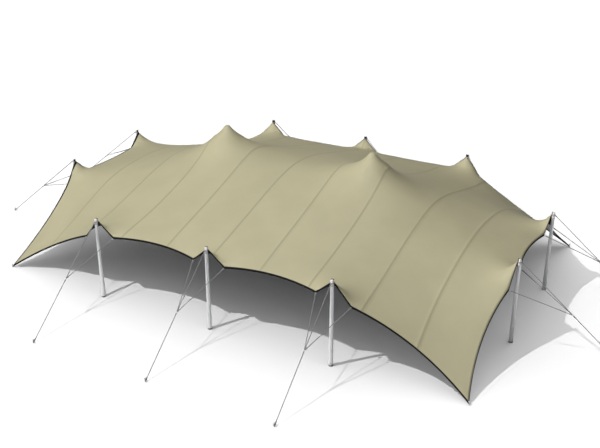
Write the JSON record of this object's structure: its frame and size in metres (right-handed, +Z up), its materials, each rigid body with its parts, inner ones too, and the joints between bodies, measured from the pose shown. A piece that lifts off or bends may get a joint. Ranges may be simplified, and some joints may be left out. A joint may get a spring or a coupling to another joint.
{
  "type": "stretch tent",
  "caption": "Large free-form stretch tent: sand cloth canopy over king poles and side poles, its corners pegged to the ground and its edges held by bridle guys.",
  "frame": {"origin": "middle of the tent on the ground", "axes": "+X along the tent's length towards the right end, +Y from the front towards the back, +Z up"},
  "size_m": [21.136, 15.836, 4],
  "materials": {
    "canopy_cloth": "satin",
    "black_trim": "matte",
    "pole_tube": "satin",
    "guy_rope": "matte",
    "peg_steel": "satin"
  },
  "bodies": {
    "root": {"canopy_panel_01": "canopy_cloth", "canopy_panel_02_front": "canopy_cloth", "canopy_panel_02_middle": "canopy_cloth", "canopy_panel_02_back": "canopy_cloth", "canopy_panel_03_front": "canopy_cloth", "canopy_panel_03_middle": "canopy_cloth", "canopy_panel_03_back": "canopy_cloth", "canopy_panel_04": "canopy_cloth", "canopy_panel_05": "canopy_cloth", "canopy_panel_06": "canopy_cloth", "canopy_panel_07": "canopy_cloth", "canopy_panel_08_front": "canopy_cloth", "canopy_panel_08_middle": "canopy_cloth", "canopy_panel_08_back": "canopy_cloth", "canopy_panel_09_front": "canopy_cloth", "canopy_panel_09_middle": "canopy_cloth", "canopy_panel_09_back": "canopy_cloth", "canopy_panel_10": "canopy_cloth", "hem_front": "black_trim", "hem_back": "black_trim", "hem_left": "black_trim", "hem_right": "black_trim", "pole_front_left": "pole_tube", "pole_front_middle": "pole_tube", "pole_front_right": "pole_tube", "pole_back_left": "pole_tube", "pole_back_middle": "pole_tube", "pole_back_right": "pole_tube", "pole_left_front": "pole_tube", "pole_left_back": "pole_tube", "pole_right_front": "pole_tube", "pole_right_back": "pole_tube", "king_pole_left": "pole_tube", "king_pole_right": "pole_tube", "guy_front_left": "guy_rope", "guy_front_middle": "guy_rope", "guy_front_right": "guy_rope", "guy_back_left": "guy_rope", "guy_back_middle": "guy_rope", "guy_back_right": "guy_rope", "guy_left_front": "guy_rope", "guy_left_back": "guy_rope", "guy_right_front": "guy_rope", "guy_right_back": "guy_rope", "peg_front_left": "peg_steel", "peg_front_middle": "peg_steel", "peg_front_right": "peg_steel", "peg_back_left": "peg_steel", "peg_back_middle": "peg_steel", "peg_back_right": "peg_steel", "peg_left_front": "peg_steel", "peg_left_back": "peg_steel", "peg_right_front": "peg_steel", "peg_right_back": "peg_steel", "corner_peg_front_left": "peg_steel", "corner_peg_front_right": "peg_steel", "corner_peg_back_left": "peg_steel", "corner_peg_back_right": "peg_steel"}
  },
  "joints": []
}
